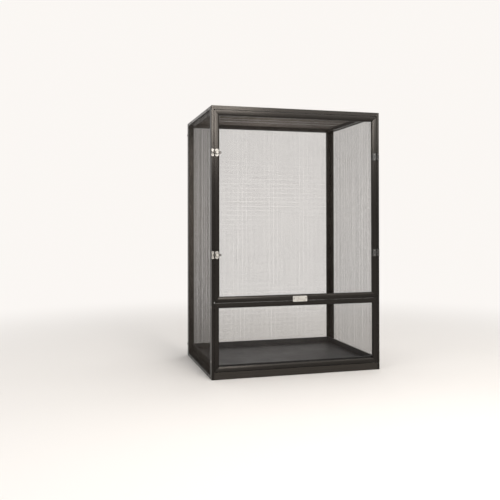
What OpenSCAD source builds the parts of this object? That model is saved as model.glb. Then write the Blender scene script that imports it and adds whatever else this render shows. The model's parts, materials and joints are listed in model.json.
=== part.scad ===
// Tall screen cage for climbing reptiles: an aluminium frame with mesh on every side,
// a hinged front door, a lift-up flap below it and a pull-out substrate tray.
// The origin is the middle of the footprint on the floor. +Z is up and the front faces -Y.

/* [Cage] */
// Overall width, left to right
cage_w = 600; // [450:5:900]
// Overall depth, from the front faces to the back wall
cage_d = 450; // [350:5:700]
// Overall height
cage_h = 900; // [700:5:1200]

/* [Frame] */
// Thickness of the side and back walls, and face width of the corner posts
wall_t = 8; // [7:0.5:12]
// Depth of the corner posts, front to back
post_d = 16; // [15:0.5:24]
// Metal thickness of the hollow bars
metal_t = 1.2; // [0.8:0.1:1.5]
// Width of the bars round the side and back walls
wall_bar_w = 15; // [14:0.5:24]
// Height of the roof frame
roof_h = 13; // [10:0.5:24]
// Width of the roof bars
roof_bar_w = 15; // [14:0.5:30]
// Height of the base frame
base_h = 24; // [16:0.5:40]
// Width of the base bars, the ledge that carries the tray
base_bar_w = 20; // [16:0.5:40]
// Set-back of each bar end at a mitre
mitre_gap = 0.1; // [0.05:0.05:0.3]

/* [Door and flap] */
// Thickness of the door and the flap
door_t = 10; // [9:0.5:11]
// Width of the door bars
door_bar_w = 18; // [17:0.5:26]
// Width of the flap bars
flap_bar_w = 16.5; // [15.5:0.5:24]
// Width of the slope on the inner front edge of these bars
bevel_w = 6; // [3:0.5:8]
// Depth of that slope
bevel_d = 3; // [1:0.5:4]
// Height of the line between the flap and the door
split_z = 252; // [200:1:320]
// Gap along that line
split_gap = 3; // [2.5:0.1:4]
// Thickness of the lip on the door that covers that gap
foot_lip_t = 1.5; // [1:0.1:2]
// Gap between the door or flap and the frame round it
edge_gap = 1; // [0.8:0.1:1.5]
// Gap between the flap and the base frame
flap_lift_gap = 1.5; // [1:0.1:3]
// Width of the stop that the door and flap close against
stop_w = 5; // [3:0.5:8]
// Gap between a closed door and its stop
stop_gap = 1; // [0.5:0.1:1.5]

/* [Screen] */
// Spacing of the strands in each screen
net_pitch = 42; // [42:1:90]
// Width of a strand
strand_w = 1.2; // [0.8:0.1:3]
// Thickness of a screen
net_t = 0.6; // [0.3:0.1:0.9]
// Width of the groove that holds the screen
groove_w = 3.2; // [3.2:0.1:3.6]
// Depth of that groove
groove_d = 4; // [3.5:0.1:5]
// Width of the lip between the groove and the opening
lip_w = 2; // [1.5:0.1:2.5]
// Depth of the lip below the bar's face
lip_drop = 1; // [1:0.1:1.5]
// Diameter of the cord that locks the screen in the groove
spline_d = 3; // [2.6:0.1:3]
// Length of a corner key's legs from the corner of the frame
key_leg = 32; // [28:1:45]

/* [Hinges] */
// Height of a hinge
hinge_h = 25; // [22:1:40]
// Thickness of the hinge leaves and the latch plates
leaf_t = 1.5; // [1.2:0.1:1.6]
// Outer diameter of a knuckle
knuckle_d = 5.5; // [5:0.1:5.6]
// Diameter of a hinge pin
hinge_pin_d = 2.6; // [2:0.1:3]
// Distance of the pin's axis in front of the door's face
hinge_proud = 3.2; // [3.1:0.1:3.4]
// Width of the leaf on the door
door_leaf_w = 16; // [13:0.5:17]
// Distance of the upper hinge and latch below the top of the door
hardware_from_top = 141; // [60:1:200]
// Distance of the lower hinge and latch above the bottom of the door
hardware_from_bottom = 155.5; // [60:0.5:200]

/* [Latches] */
// Height of the latch plates
latch_h = 25; // [24:0.5:40]
// Width of the lobes of the latch plate on the door
latch_plate_w = 11; // [10:0.5:17]
// Width of that plate's waist, behind the lever
plate_waist_w = 8; // [6:0.5:10]
// Width of the waist of the keeper on the post
keeper_waist_w = 5; // [4:0.5:6.5]
// Thickness of a latch lever
lever_t = 3; // [2:0.1:4]
// Width of the lever's arms
lever_w = 6; // [4:0.5:8]
// Diameter of the lever's hub
hub_d = 11; // [10:0.5:13]
// Reach of the lever over the keeper
nose_len = 15; // [13:0.5:17]
// Distance from the pivot to the finger ring
ring_reach = 10.5; // [10:0.5:18]
// Outer diameter of the finger ring
ring_d = 8; // [7:0.5:12]
// Hole in the finger ring
ring_hole_d = 3.5; // [3:0.5:5]
// Diameter of the pivot stud
stud_d = 6; // [4:0.5:7]

/* [Lock] */
// Width of the lock plate
lock_w = 51; // [44:1:70]
// Height of the lock plate
lock_h = 19; // [16:0.5:24]
// Thickness of the lock plate
lock_t = 2; // [1.5:0.1:3]
// Place of the lock to the right of the middle
lock_x = 5; // [-40:1:40]
// Height of the lock's spindle above the bottom of the door
spindle_up = 6; // [5:0.1:6.5]
// Diameter of the spindle
spindle_d = 5; // [4:0.1:6]
// Diameter of the thumb turn
turn_d = 12; // [9:0.5:13]
// Reach of the cam from the spindle
cam_reach = 13; // [11:0.5:18]

/* [Flap pivot and tray] */
// Distance of the pivot below the top of the flap
pivot_drop = 12.5; // [8:0.5:20]
// Distance of the pivot behind the flap's face
pivot_back = 6; // [5:0.1:6]
// Diameter of a pivot pin
pivot_d = 4; // [3:0.1:5]
// Height of the ball catches above the floor
catch_z = 60; // [50:1:150]
// Depth of the tray
tray_h = 22; // [15:1:60]
// Thickness of the tray's walls
tray_t = 2; // [1.5:0.1:4]
// Width of the rim round the tray
tray_rim = 4; // [3:0.5:6]
// Corner radius of the tray
tray_r = 10; // [8:1:30]

/* [Screws] */
// Shank diameter of the screws through the walls
screw_d = 3.5; // [2.5:0.1:3.6]
// Head diameter of these screws
screw_head_d = 7; // [6:0.5:9]
// Length of these screws past the wall
screw_bite = 7; // [5:0.5:8]
// Distance of the side wall's screws from its corner keys
side_screw_gap = 27; // [10:1:100]
// Distance of the back wall's screws from its ends
back_screw_z = 45; // [40:1:120]
// Shank diameter of the hinge, latch and lock screws
fixing_d = 2.4; // [2:0.1:2.6]
// Head diameter of these countersunk screws
fixing_head_d = 4.4; // [4:0.1:4.6]
// Length of these screws below the face
fixing_len = 7; // [5:0.5:7.5]

/* [Hidden] */
$fn = 48;

// Finishes
frame_color = "#3f3c39";
screen_color = "#8d8a84";
spline_color = "#1c1b1a";
key_color = "#262524";
hinge_color = "#2b2a29";
silver_color = "#c9c6bf";
screw_color = "#4a4845";
tray_color = "#232324";

// Clearances
running_fit = 0.05; // Radial play of pins, screws and spindles
key_fit = 0.15;     // Play of a corner key in its bars
net_fit = 0.1;      // Play between the edge of a screen and the groove
knuckle_gap = 0.3;  // Gap between the knuckles of a hinge
slide_gap = 0.3;    // Gap between faces that move past each other
swing_gap = 0.4;    // Gap round a part that swings
tray_side_gap = 2;  // Gap between the tray and the stops beside it
tray_front_gap = 2; // Gap between the tray and the closed flap
tray_back_gap = 3;  // Gap between the tray and the back wall
cut = 1;            // Overrun of a cutting shape

// Main planes
half_w = cage_w / 2;
half_d = cage_d / 2;
inner_x = half_w - wall_t;
front_y = -half_d;
nest_d = cage_d - wall_t;
nest_y = -wall_t / 2;

// Panel sizes, width and height in the panel's own plane
side_size = [cage_d - 2 * post_d, cage_h];
back_size = [2 * inner_x, cage_h];
nest_size = [2 * inner_x, nest_d];
door_half_w = inner_x - edge_gap;
door_z0 = split_z + split_gap / 2;
door_z1 = cage_h - roof_h - edge_gap;
door_size = [2 * door_half_w, door_z1 - door_z0];
flap_z0 = base_h + flap_lift_gap;
flap_z1 = split_z - split_gap / 2;
flap_size = [2 * door_half_w, flap_z1 - flap_z0];

// Hardware places
hardware_z = [door_z0 + hardware_from_bottom, door_z1 - hardware_from_top];
hinge_x = inner_x - edge_gap / 2;
hinge_y = front_y - hinge_proud;
knuckle_clear = knuckle_d / 2 + swing_gap;
knuckle_split = hinge_h / 3;
pin_head_t = 1;
pin_head_d = knuckle_d - pin_head_t;
plate_y = front_y - leaf_t;
stile_x = door_half_w - door_bar_w / 2;
hinge_fixing_z = hinge_h / 2 - fixing_head_d;
latch_fixing_z = latch_h / 2 - fixing_head_d;
post_leaf_x0 = hinge_x + knuckle_clear;
post_fixing_x = (post_leaf_x0 + half_w) / 2;
keeper_fixing_x = half_w - wall_t / 2;
lever_y = plate_y - slide_gap;
stud_shank_d = stud_d / 2;
stud_rim = 1.5;
stud_head_d = stud_d + 2 * stud_rim;
stud_head_t = 1.5;
lock_z = door_z0 + spindle_up;
lock_fixing_x = lock_w / 2 - fixing_head_d;
lock_r = 3;
lock_margin = 1;
cam_t = 2;
cam_w = 8;
cam_y = front_y + door_t + slide_gap;
nut_t = 2.5;
nut_wall = 1.5;
nut_d = spindle_d + 2 * nut_wall;
turn_t = 2;
wing_h = 6;
wing_t = 4;

// Flap pivot and catches
pivot_y = front_y + pivot_back;
pivot_z = flap_z1 - pivot_drop;
pivot_end_gap = 2;
pivot_len = wall_t + edge_gap + metal_t + key_fit + hollow_w(flap_bar_w) - pivot_end_gap;
pivot_rim = 1.25;
pivot_head_d = pivot_d + 2 * pivot_rim;
pivot_head_t = 1;
swing_r = norm([pivot_drop, max(pivot_back, door_t - pivot_back)]);
catch_d = 5;
catch_ball_r = 2;
catch_head_d = 7;
catch_head_t = 1.5;

// Screws through the walls of each side, as y and z
post_screw_y = front_y + post_d / 2;
side_screw_up = metal_t + hollow_w(wall_bar_w) / 2;
side_screw_y = half_d - post_d - key_leg - side_screw_gap;
wall_screws = [
    [post_screw_y, base_h / 2],
    [post_screw_y, cage_h - roof_h / 2],
    [-side_screw_y, side_screw_up],
    [side_screw_y, side_screw_up],
    [-side_screw_y, cage_h - side_screw_up],
    [side_screw_y, cage_h - side_screw_up],
    [half_d - wall_t / 2, back_screw_z],
    [half_d - wall_t / 2, cage_h - back_screw_z]
];
screw_head_t = 1.8;

// Hollow left inside a bar of width w, clear of the groove
function hollow_w(w) = w - lip_w - groove_w - 2 * metal_t;

// Rounded rectangle about the origin
module round_rect(w, h, r) {
    square([w - 2 * r, h], center = true);
    square([w, h - 2 * r], center = true);
    for (x = [-1, 1], y = [-1, 1])
        translate([x * (w / 2 - r), y * (h / 2 - r)])
            circle(r);
}

// Section of a bar: x from its outer edge to its inner edge, y from its plain face to its grooved face
module bar_section(w, t, slope_w, slope_d) {
    groove_x = w - lip_w - groove_w;
    difference() {
        polygon([
            [0, 0], [w - slope_w, 0], [w, slope_d], [w, t - lip_drop], [w - lip_w, t - lip_drop],
            [w - lip_w, t - groove_d], [groove_x, t - groove_d], [groove_x, t], [0, t]
        ]);
        translate([metal_t, metal_t])
            square([hollow_w(w), t - 2 * metal_t]);
    }
}

// One bar with mitred ends, centred along X, its outer edge on y = 0 and its plain face on z = 0
module mitred_bar(length, w, t, slope_w, slope_d) {
    end = length / 2 - mitre_gap;
    intersection() {
        linear_extrude(t)
            polygon([[-end, 0], [end, 0], [end - w, w], [w - end, w]]);
        rotate([90, 0, 90])
            translate([0, 0, -length / 2])
                linear_extrude(length)
                    bar_section(w, t, slope_w, slope_d);
    }
}

// The four bars of a panel
module panel_bars(size, w, t, slope_w = 0, slope_d = 0) {
    for (i = [0:3]) {
        length = size[i % 2];
        across = size[(i + 1) % 2];
        rotate([0, 0, 90 * i])
            translate([0, -across / 2, 0])
                mitred_bar(length, w, t, slope_w, slope_d);
    }
}

// The four L-shaped keys that join a panel's bars inside their corners
module panel_keys(size, w, t) {
    inset = metal_t + key_fit;
    leg_w = hollow_w(w) - 2 * key_fit;
    leg_t = t - 2 * inset;
    for (i = [0:3]) {
        x = (i == 0 || i == 3 ? -1 : 1) * size.x / 2;
        y = (i < 2 ? -1 : 1) * size.y / 2;
        translate([x, y, inset])
            rotate([0, 0, 90 * i])
                translate([inset, inset, 0])
                    linear_extrude(leg_t)
                        union() {
                            square([key_leg - inset, leg_w]);
                            square([leg_w, key_leg - inset]);
                        }
    }
}

// The screen across a panel, lying on the lips of its bars
module panel_screen(size, w, t) {
    opening = [size.x - 2 * w, size.y - 2 * w];
    hem = lip_w - net_fit;
    columns = round(opening.x / net_pitch);
    rows = round(opening.y / net_pitch);
    cell = [opening.x / columns, opening.y / rows];
    translate([0, 0, t - lip_drop])
        linear_extrude(net_t)
            difference() {
                square([opening.x + 2 * hem, opening.y + 2 * hem], center = true);
                for (i = [0:columns - 1], j = [0:rows - 1])
                    translate([(i + 0.5) * cell.x - opening.x / 2, (j + 0.5) * cell.y - opening.y / 2])
                        square([cell.x - strand_w, cell.y - strand_w], center = true);
            }
}

// The cord pressed into the grooves, in four lengths that butt at the corners
module panel_spline(size, w, t) {
    inset = w - lip_w - groove_w / 2;
    start = spline_d / 2 + key_fit;
    for (i = [0:3]) {
        half = size[i % 2] / 2 - inset;
        across = size[(i + 1) % 2];
        rotate([0, 0, 90 * i])
            translate([start - half, inset - across / 2, t - groove_d + spline_d / 2 + running_fit])
                rotate([0, 90, 0])
                    cylinder(d = spline_d, h = 2 * half + spline_d / 2 - start);
    }
}

// Places for panels drawn flat: the grooved face ends up outside on the walls, up on the roof and
// base, and inside on the door and flap
module on_left_wall() {
    translate([-inner_x, 0, cage_h / 2])
        rotate([90, 0, -90])
            children();
}
module on_right_wall() {
    translate([inner_x, 0, cage_h / 2])
        rotate([90, 0, 90])
            children();
}
module on_back_wall() {
    translate([0, half_d - wall_t, cage_h / 2])
        rotate([90, 0, 180])
            children();
}
module on_roof() {
    translate([0, nest_y, cage_h - roof_h])
        children();
}
module on_base() {
    translate([0, nest_y, 0])
        children();
}
module on_door() {
    translate([0, front_y, (door_z0 + door_z1) / 2])
        rotate([90, 0, 180])
            children();
}
module on_flap() {
    translate([0, front_y, (flap_z0 + flap_z1) / 2])
        rotate([90, 0, 180])
            children();
}

// A rod along X that starts at the outer face of one side and runs inwards
module side_rod(side, y, z, d, length) {
    translate([side * half_w, y, z])
        rotate([0, -side * 90, 0])
            cylinder(d = d, h = length);
}

// A bore for such a rod, which runs past the wall on both ends
module side_bore(side, y, z, d, depth) {
    translate([side * (half_w + cut), y, z])
        rotate([0, -side * 90, 0])
            cylinder(d = d + 2 * running_fit, h = depth + 2 * cut);
}

// A rod along +Y
module depth_rod(x, y, z, d, length) {
    translate([x, y, z])
        rotate([-90, 0, 0])
            cylinder(d = d, h = length);
}

// Bores for the screws through the walls of one side
module wall_screw_bores(side) {
    for (at = wall_screws)
        side_bore(side, at[0], at[1], screw_d, wall_t + screw_bite);
}
module both_wall_screw_bores() {
    for (side = [-1, 1])
        wall_screw_bores(side);
}

// A pan-head screw through the wall of one side
module wall_screw(side, y, z) {
    side_rod(side, y, z, screw_d, wall_t + screw_bite);
    translate([side * half_w, y, z])
        rotate([0, side * 90, 0]) {
            cylinder(d = screw_head_d, h = screw_head_t / 2);
            translate([0, 0, screw_head_t / 2])
                cylinder(d1 = screw_head_d, d2 = screw_head_d / 2, h = screw_head_t / 2);
        }
}

// A countersunk screw that goes into the front from a face at y
module fixing(x, y, z, play = 0) {
    head_t = (fixing_head_d - fixing_d) / 2;
    depth_rod(x, y - (play > 0 ? cut : 0), z, fixing_d + 2 * play, fixing_len + (play > 0 ? 2 * cut : 0));
    translate([x, y, z])
        rotate([-90, 0, 0])
            cylinder(d1 = fixing_head_d + 2 * play, d2 = fixing_d + 2 * play, h = head_t);
}

// Each set of fixings, drawn as screws or, with some play, as their bores
module hinge_post_fixings(z, play = 0) {
    for (s = [-1, 1])
        fixing(post_fixing_x, plate_y, z + s * hinge_fixing_z, play);
}
module hinge_door_fixings(z, play = 0) {
    for (s = [-1, 1])
        fixing(stile_x, plate_y, z + s * hinge_fixing_z, play);
}
module keeper_fixings(z, play = 0) {
    for (s = [-1, 1])
        fixing(-keeper_fixing_x, plate_y, z + s * latch_fixing_z, play);
}
module latch_fixings(z, play = 0) {
    for (s = [-1, 1])
        fixing(-stile_x, plate_y, z + s * latch_fixing_z, play);
}
module lock_fixings(play = 0) {
    for (s = [-1, 1])
        fixing(lock_x + s * lock_fixing_x, front_y - lock_t, lock_z, play);
}

// Corner posts
module post_tube(side, y) {
    translate([side > 0 ? inner_x : -half_w, y, 0])
        linear_extrude(cage_h)
            difference() {
                square([wall_t, post_d]);
                translate([metal_t, metal_t])
                    square([wall_t - 2 * metal_t, post_d - 2 * metal_t]);
            }
}
// The stop stands behind the door and flap, and leaves room for the flap's top edge to swing
module front_post(side) {
    stop_d = post_d - door_t - stop_gap;
    swing_room = swing_r + cut;
    color(frame_color)
        difference() {
            union() {
                post_tube(side, front_y);
                translate([side > 0 ? inner_x - stop_w : -inner_x, front_y + post_d - stop_d, base_h])
                    cube([stop_w, stop_d, cage_h - roof_h - base_h]);
            }
            translate([side * (inner_x - stop_w) - stop_w, front_y + door_t, pivot_z - swing_room])
                cube([2 * stop_w, post_d, 2 * swing_room]);
            wall_screw_bores(side);
            side_bore(side, pivot_y, pivot_z, pivot_d, wall_t);
            side_bore(side, pivot_y, catch_z, catch_d, wall_t);
            for (z = hardware_z)
                if (side > 0)
                    hinge_post_fixings(z, running_fit);
                else
                    keeper_fixings(z, running_fit);
        }
}
module front_left_post() {
    front_post(-1);
}
module front_right_post() {
    front_post(1);
}
module back_post(side) {
    color(frame_color)
        difference() {
            post_tube(side, half_d - post_d);
            wall_screw_bores(side);
        }
}
module back_left_post() {
    back_post(-1);
}
module back_right_post() {
    back_post(1);
}

// Left wall
module left_wall_bars() {
    color(frame_color)
        difference() {
            on_left_wall()
                panel_bars(side_size, wall_bar_w, wall_t);
            wall_screw_bores(-1);
        }
}
module left_wall_keys() {
    color(key_color)
        on_left_wall()
            panel_keys(side_size, wall_bar_w, wall_t);
}
module left_wall_screen() {
    color(screen_color)
        on_left_wall()
            panel_screen(side_size, wall_bar_w, wall_t);
}
module left_wall_spline() {
    color(spline_color)
        on_left_wall()
            panel_spline(side_size, wall_bar_w, wall_t);
}

// Right wall
module right_wall_bars() {
    color(frame_color)
        difference() {
            on_right_wall()
                panel_bars(side_size, wall_bar_w, wall_t);
            wall_screw_bores(1);
        }
}
module right_wall_keys() {
    color(key_color)
        on_right_wall()
            panel_keys(side_size, wall_bar_w, wall_t);
}
module right_wall_screen() {
    color(screen_color)
        on_right_wall()
            panel_screen(side_size, wall_bar_w, wall_t);
}
module right_wall_spline() {
    color(spline_color)
        on_right_wall()
            panel_spline(side_size, wall_bar_w, wall_t);
}

// Back wall
module back_wall_bars() {
    color(frame_color)
        difference() {
            on_back_wall()
                panel_bars(back_size, wall_bar_w, wall_t);
            both_wall_screw_bores();
        }
}
module back_wall_keys() {
    color(key_color)
        on_back_wall()
            panel_keys(back_size, wall_bar_w, wall_t);
}
module back_wall_screen() {
    color(screen_color)
        on_back_wall()
            panel_screen(back_size, wall_bar_w, wall_t);
}
module back_wall_spline() {
    color(spline_color)
        on_back_wall()
            panel_spline(back_size, wall_bar_w, wall_t);
}

// Roof
module roof_bars() {
    color(frame_color)
        difference() {
            on_roof()
                panel_bars(nest_size, roof_bar_w, roof_h);
            both_wall_screw_bores();
        }
}
module roof_keys() {
    color(key_color)
        difference() {
            on_roof()
                panel_keys(nest_size, roof_bar_w, roof_h);
            both_wall_screw_bores();
        }
}
module roof_screen() {
    color(screen_color)
        on_roof()
            panel_screen(nest_size, roof_bar_w, roof_h);
}
module roof_spline() {
    color(spline_color)
        on_roof()
            panel_spline(nest_size, roof_bar_w, roof_h);
}

// Base
module base_bars() {
    color(frame_color)
        difference() {
            on_base()
                panel_bars(nest_size, base_bar_w, base_h);
            both_wall_screw_bores();
        }
}
module base_keys() {
    color(key_color)
        difference() {
            on_base()
                panel_keys(nest_size, base_bar_w, base_h);
            both_wall_screw_bores();
        }
}
module floor_screen() {
    color(screen_color)
        on_base()
            panel_screen(nest_size, base_bar_w, base_h);
}
module floor_spline() {
    color(spline_color)
        on_base()
            panel_spline(nest_size, base_bar_w, base_h);
}

// Door
// The lip under the door's foot covers the gap, just clear of the arc of the flap's top edge
module foot_lip() {
    arc_r = norm([pivot_drop, pivot_back]);
    low = pivot_z + sqrt(pow(arc_r, 2) - pow(pivot_back - foot_lip_t, 2)) + slide_gap;
    half = door_half_w - mitre_gap - metal_t;
    translate([-half, front_y, low])
        cube([2 * half, foot_lip_t, door_z0 - low + metal_t / 2]);
}
module door_bars() {
    color(frame_color)
        difference() {
            union() {
                on_door()
                    panel_bars(door_size, door_bar_w, door_t, bevel_w, bevel_d);
                foot_lip();
            }
            for (z = hardware_z) {
                hinge_door_fixings(z, running_fit);
                latch_fixings(z, running_fit);
                depth_rod(-stile_x, front_y - cut, z, stud_shank_d + 2 * running_fit, fixing_len + cut);
            }
            lock_fixings(running_fit);
            depth_rod(lock_x, front_y - cut, lock_z, spindle_d + 2 * running_fit, door_t + 2 * cut);
        }
}
module door_keys() {
    color(key_color)
        on_door()
            panel_keys(door_size, door_bar_w, door_t);
}
module door_screen() {
    color(screen_color)
        on_door()
            panel_screen(door_size, door_bar_w, door_t);
}
module door_spline() {
    color(spline_color)
        on_door()
            panel_spline(door_size, door_bar_w, door_t);
}

// Flap
module pivot_bores() {
    for (side = [-1, 1])
        side_bore(side, pivot_y, pivot_z, pivot_d, pivot_len);
}
module flap_bars() {
    color(frame_color)
        difference() {
            on_flap()
                panel_bars(flap_size, flap_bar_w, door_t, bevel_w, bevel_d);
            pivot_bores();
            for (side = [-1, 1])
                side_rod(side, pivot_y, catch_z, 2 * catch_ball_r, wall_t + edge_gap + metal_t + cut);
        }
}
module flap_keys() {
    color(key_color)
        difference() {
            on_flap()
                panel_keys(flap_size, flap_bar_w, door_t);
            pivot_bores();
        }
}
module flap_screen() {
    color(screen_color)
        on_flap()
            panel_screen(flap_size, flap_bar_w, door_t);
}
module flap_spline() {
    color(spline_color)
        on_flap()
            panel_spline(flap_size, flap_bar_w, door_t);
}
module flap_pivot_pins() {
    color(silver_color)
        for (side = [-1, 1]) {
            side_rod(side, pivot_y, pivot_z, pivot_d, pivot_len);
            translate([side * half_w, pivot_y, pivot_z])
                rotate([0, side * 90, 0])
                    cylinder(d = pivot_head_d, h = pivot_head_t);
        }
}
module flap_ball_catches() {
    reach = wall_t + edge_gap - slide_gap - catch_ball_r;
    color(silver_color)
        for (side = [-1, 1]) {
            side_rod(side, pivot_y, catch_z, catch_d, wall_t - slide_gap);
            translate([side * (half_w - reach), pivot_y, catch_z])
                sphere(catch_ball_r);
            translate([side * half_w, pivot_y, catch_z])
                rotate([0, side * 90, 0])
                    cylinder(d = catch_head_d, h = catch_head_t);
        }
}

// Hinges: the post's leaf has the outer knuckles and the door's leaf the middle one
module knuckle(z, h) {
    translate([hinge_x, hinge_y, z])
        cylinder(d = knuckle_d, h = h);
}
module pin_bore(z) {
    translate([hinge_x, hinge_y, z - hinge_h / 2 - cut])
        cylinder(d = hinge_pin_d + 2 * running_fit, h = hinge_h + 2 * cut);
}
module hinge_post_leaf(z) {
    low = z - hinge_h / 2;
    tab_x = hinge_x + edge_gap / 2;
    color(hinge_color)
        difference() {
            union() {
                translate([post_leaf_x0, plate_y, low])
                    cube([half_w - post_leaf_x0, leaf_t, hinge_h]);
                for (at = [low, low + 2 * knuckle_split + knuckle_gap]) {
                    knuckle(at, knuckle_split - knuckle_gap);
                    translate([tab_x, plate_y, at])
                        cube([post_leaf_x0 - tab_x + cut, leaf_t, knuckle_split - knuckle_gap]);
                }
            }
            pin_bore(z);
            hinge_post_fixings(z, running_fit);
        }
}
module hinge_door_leaf(z) {
    low = z - hinge_h / 2;
    edge_x = hinge_x - knuckle_clear;
    tab_x = door_half_w - running_fit;
    color(hinge_color)
        difference() {
            union() {
                translate([tab_x - door_leaf_w, plate_y, low])
                    cube([edge_x - tab_x + door_leaf_w, leaf_t, hinge_h]);
                knuckle(low + knuckle_split, knuckle_split);
                translate([edge_x - cut, plate_y, low + knuckle_split])
                    cube([tab_x - edge_x + cut, leaf_t, knuckle_split]);
            }
            pin_bore(z);
            hinge_door_fixings(z, running_fit);
        }
}
module hinge_pin(z) {
    color(screw_color)
        translate([hinge_x, hinge_y, z - hinge_h / 2]) {
            cylinder(d = hinge_pin_d, h = hinge_h);
            translate([0, 0, hinge_h])
                cylinder(d1 = pin_head_d, d2 = hinge_pin_d, h = pin_head_t);
        }
}
module upper_hinge_post_leaf() {
    hinge_post_leaf(hardware_z[1]);
}
module upper_hinge_door_leaf() {
    hinge_door_leaf(hardware_z[1]);
}
module upper_hinge_pin() {
    hinge_pin(hardware_z[1]);
}
module lower_hinge_post_leaf() {
    hinge_post_leaf(hardware_z[0]);
}
module lower_hinge_door_leaf() {
    hinge_door_leaf(hardware_z[0]);
}
module lower_hinge_pin() {
    hinge_pin(hardware_z[0]);
}
module hinge_post_screws() {
    color(screw_color)
        for (z = hardware_z)
            hinge_post_fixings(z);
}
module hinge_door_screws() {
    color(screw_color)
        for (z = hardware_z)
            hinge_door_fixings(z);
}

// Turn latches on the door's free edge
// Outline of their plates: a round lobe at each end for a screw, and a waist between them
module lobed_plate(w, waist_w, h) {
    lobe_y = (h - w) / 2;
    square([waist_w, 2 * lobe_y], center = true);
    for (s = [-1, 1])
        translate([0, s * lobe_y])
            circle(d = w);
}
module latch_keeper(z) {
    color(silver_color)
        difference() {
            translate([-keeper_fixing_x, front_y, z])
                rotate([90, 0, 0])
                    linear_extrude(leaf_t)
                        lobed_plate(wall_t, keeper_waist_w, latch_h);
            keeper_fixings(z, running_fit);
        }
}
module latch_plate(z) {
    color(silver_color)
        difference() {
            translate([-stile_x, front_y, z])
                rotate([90, 0, 0])
                    linear_extrude(leaf_t)
                        lobed_plate(latch_plate_w, plate_waist_w, latch_h);
            latch_fixings(z, running_fit);
            depth_rod(-stile_x, plate_y - cut, z, stud_shank_d + 2 * running_fit, leaf_t + 2 * cut);
        }
}
module latch_stud(z) {
    shoulder = lever_t + 2 * slide_gap;
    color(silver_color) {
        depth_rod(-stile_x, plate_y, z, stud_shank_d, leaf_t + fixing_len - cut);
        depth_rod(-stile_x, plate_y - shoulder, z, stud_d, shoulder);
        depth_rod(-stile_x, plate_y - shoulder - stud_head_t, z, stud_head_d, stud_head_t);
    }
}
module latch_lever(z) {
    color(silver_color)
        translate([-stile_x, lever_y, z])
            rotate([90, 0, 0])
                linear_extrude(lever_t)
                    difference() {
                        union() {
                            circle(d = hub_d);
                            translate([lever_w / 2 - nose_len, -lever_w / 2])
                                square([nose_len + ring_reach - lever_w / 2, lever_w]);
                            translate([lever_w / 2 - nose_len, 0])
                                circle(d = lever_w);
                            translate([ring_reach, 0])
                                circle(d = ring_d);
                        }
                        circle(d = stud_d + 2 * running_fit);
                        translate([ring_reach, 0])
                            circle(d = ring_hole_d);
                    }
}
module upper_latch_keeper() {
    latch_keeper(hardware_z[1]);
}
module upper_latch_plate() {
    latch_plate(hardware_z[1]);
}
module upper_latch_stud() {
    latch_stud(hardware_z[1]);
}
module upper_latch_lever() {
    latch_lever(hardware_z[1]);
}
module lower_latch_keeper() {
    latch_keeper(hardware_z[0]);
}
module lower_latch_plate() {
    latch_plate(hardware_z[0]);
}
module lower_latch_stud() {
    latch_stud(hardware_z[0]);
}
module lower_latch_lever() {
    latch_lever(hardware_z[0]);
}
module latch_keeper_screws() {
    color(screw_color)
        for (z = hardware_z)
            keeper_fixings(z);
}
module latch_plate_screws() {
    color(screw_color)
        for (z = hardware_z)
            latch_fixings(z);
}

// Lock at the foot of the door: its cam turns down behind the flap's top bar
module lock_plate() {
    plate_z = lock_z + turn_d / 2 + lock_margin - lock_h / 2;
    color(silver_color)
        difference() {
            translate([lock_x, front_y, plate_z])
                rotate([90, 0, 0])
                    linear_extrude(lock_t)
                        round_rect(lock_w, lock_h, lock_r);
            translate([lock_x - lock_w, front_y - slide_gap, door_z0 - lock_h])
                cube([2 * lock_w, cut, lock_h]);
            lock_fixings(running_fit);
            depth_rod(lock_x, front_y - lock_t - cut, lock_z, spindle_d + 2 * running_fit, lock_t + 2 * cut);
        }
}
module lock_thumb_turn() {
    face_y = front_y - lock_t - slide_gap;
    color(silver_color) {
        depth_rod(lock_x, face_y, lock_z, spindle_d, cam_y + cam_t + nut_t - face_y);
        depth_rod(lock_x, face_y - turn_t, lock_z, turn_d, turn_t);
        translate([lock_x, face_y - turn_t, lock_z])
            rotate([90, 0, 0])
                linear_extrude(wing_h - turn_t)
                    round_rect(turn_d, wing_t, wing_t / 2 - running_fit);
    }
}
module lock_cam() {
    color(silver_color)
        translate([lock_x, cam_y + cam_t, lock_z])
            rotate([90, 0, 0])
                linear_extrude(cam_t)
                    difference() {
                        union() {
                            circle(d = cam_w);
                            translate([0, -cam_w / 2])
                                square([cam_reach, cam_w]);
                        }
                        circle(d = spindle_d + 2 * running_fit);
                    }
}
module lock_nut() {
    color(screw_color)
        difference() {
            translate([lock_x, cam_y + cam_t, lock_z])
                rotate([-90, 0, 0])
                    cylinder(d = nut_d, h = nut_t, $fn = 6);
            depth_rod(lock_x, cam_y, lock_z, spindle_d + 2 * running_fit, cam_t + nut_t + cut);
        }
}
module lock_screws() {
    color(screw_color)
        lock_fixings();
}

// Tray that lies on the base bars and slides out under the raised flap
module substrate_tray() {
    rim_w = 2 * (inner_x - stop_w - tray_side_gap);
    rim_y0 = front_y + door_t + tray_front_gap;
    rim_y1 = half_d - wall_t - tray_back_gap;
    rim_l = rim_y1 - rim_y0;
    color(tray_color)
        translate([0, (rim_y0 + rim_y1) / 2, base_h + slide_gap])
            difference() {
                union() {
                    linear_extrude(tray_h)
                        round_rect(rim_w - 2 * tray_rim, rim_l - 2 * tray_rim, tray_r - tray_rim);
                    translate([0, 0, tray_h - tray_t])
                        linear_extrude(tray_t)
                            round_rect(rim_w, rim_l, tray_r);
                }
                translate([0, 0, tray_t])
                    linear_extrude(tray_h)
                        round_rect(
                            rim_w - 2 * (tray_rim + tray_t),
                            rim_l - 2 * (tray_rim + tray_t),
                            tray_r - tray_rim - tray_t
                        );
            }
}

module panel_screws() {
    color(screw_color)
        for (side = [-1, 1], at = wall_screws)
            wall_screw(side, at[0], at[1]);
}

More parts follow.
